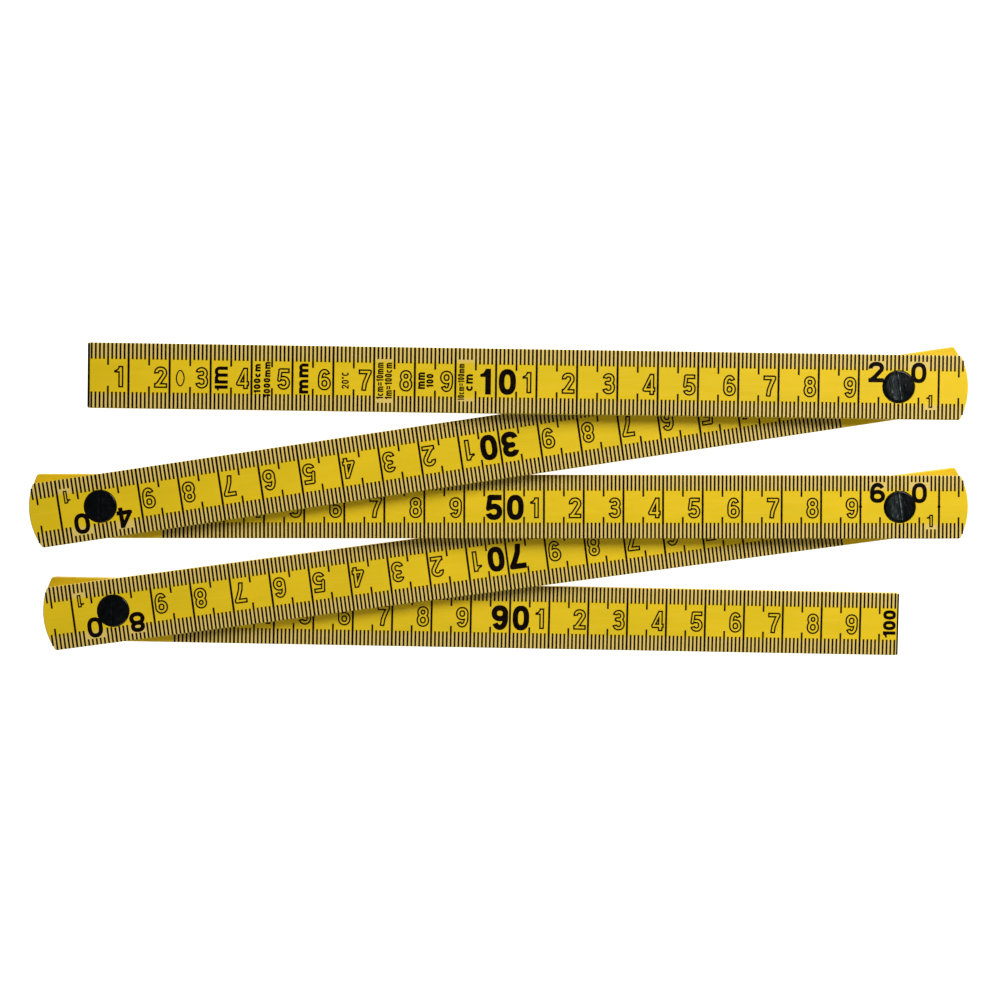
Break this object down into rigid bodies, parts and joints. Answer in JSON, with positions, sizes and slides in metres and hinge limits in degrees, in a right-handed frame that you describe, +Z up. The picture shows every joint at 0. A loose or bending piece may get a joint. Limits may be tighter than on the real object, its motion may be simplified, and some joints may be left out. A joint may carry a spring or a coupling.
{
  "type": "folding rule",
  "caption": "Yellow plastic folding rule one metre long: flat graduated blades on round black spring pivots, laid out as a nearly closed zigzag.",
  "frame": {"origin": "middle of the footprint of the laid-out rule, at the height of the table that blade 5 lies on", "axes": "+X along blade 3, from the 60 cm pivot's opposite end (40 cm pivot) to the 60 cm pivot; +Y towards blade 1; +Z up, along every pivot, from blade 5 (lowest) to blade 1 (highest)"},
  "size_m": [0.236, 0.0786, 0.0153],
  "materials": {
    "yellow_plastic": "moulded yellow plastic with a soft satin sheen, printed dark brown-black on both faces, lightly scuffed",
    "black_plastic": "black moulded plastic, satin, scuffed on the crown",
    "spring_steel": "bright stamped spring steel"
  },
  "bodies": {
    "blade_5": {"blade_5": "yellow_plastic", "pivot_button_80": "black_plastic", "retaining_cap_80": "black_plastic", "disc_spring_80": "spring_steel", "detent_ring_80": "spring_steel"},
    "blade_4": {"blade_4": "yellow_plastic", "pivot_button_60": "black_plastic", "retaining_cap_60": "black_plastic", "disc_spring_60": "spring_steel", "detent_ring_60": "spring_steel"},
    "blade_3": {"blade_3": "yellow_plastic", "pivot_button_40": "black_plastic", "retaining_cap_40": "black_plastic", "disc_spring_40": "spring_steel", "detent_ring_40": "spring_steel"},
    "blade_2": {"blade_2": "yellow_plastic", "pivot_button_20": "black_plastic", "retaining_cap_20": "black_plastic", "disc_spring_20": "spring_steel", "detent_ring_20": "spring_steel"},
    "blade_1": {"blade_1": "yellow_plastic"}
  },
  "joints": [
    {"name": "joint_80", "type": "hinge", "parent": "blade_5", "child": "blade_4", "pos_m": [-0.09825, -0.02741, 0.0031], "axis": [0, 0, 1], "range_deg": [-8.7, 171.3]},
    {"name": "joint_60", "type": "hinge", "parent": "blade_4", "child": "blade_3", "pos_m": [0.1, -0.001, 0.0062], "axis": [0, 0, -1], "range_deg": [-7.59, 172.41]},
    {"name": "joint_40", "type": "hinge", "parent": "blade_3", "child": "blade_2", "pos_m": [-0.1, -0.001, 0.0093], "axis": [0, 0, 1], "range_deg": [-8.63, 171.37]},
    {"name": "joint_20", "type": "hinge", "parent": "blade_2", "child": "blade_1", "pos_m": [0.09774, 0.02901, 0.0124], "axis": [0, 0, -1], "range_deg": [-9.27, 170.73]}
  ]
}
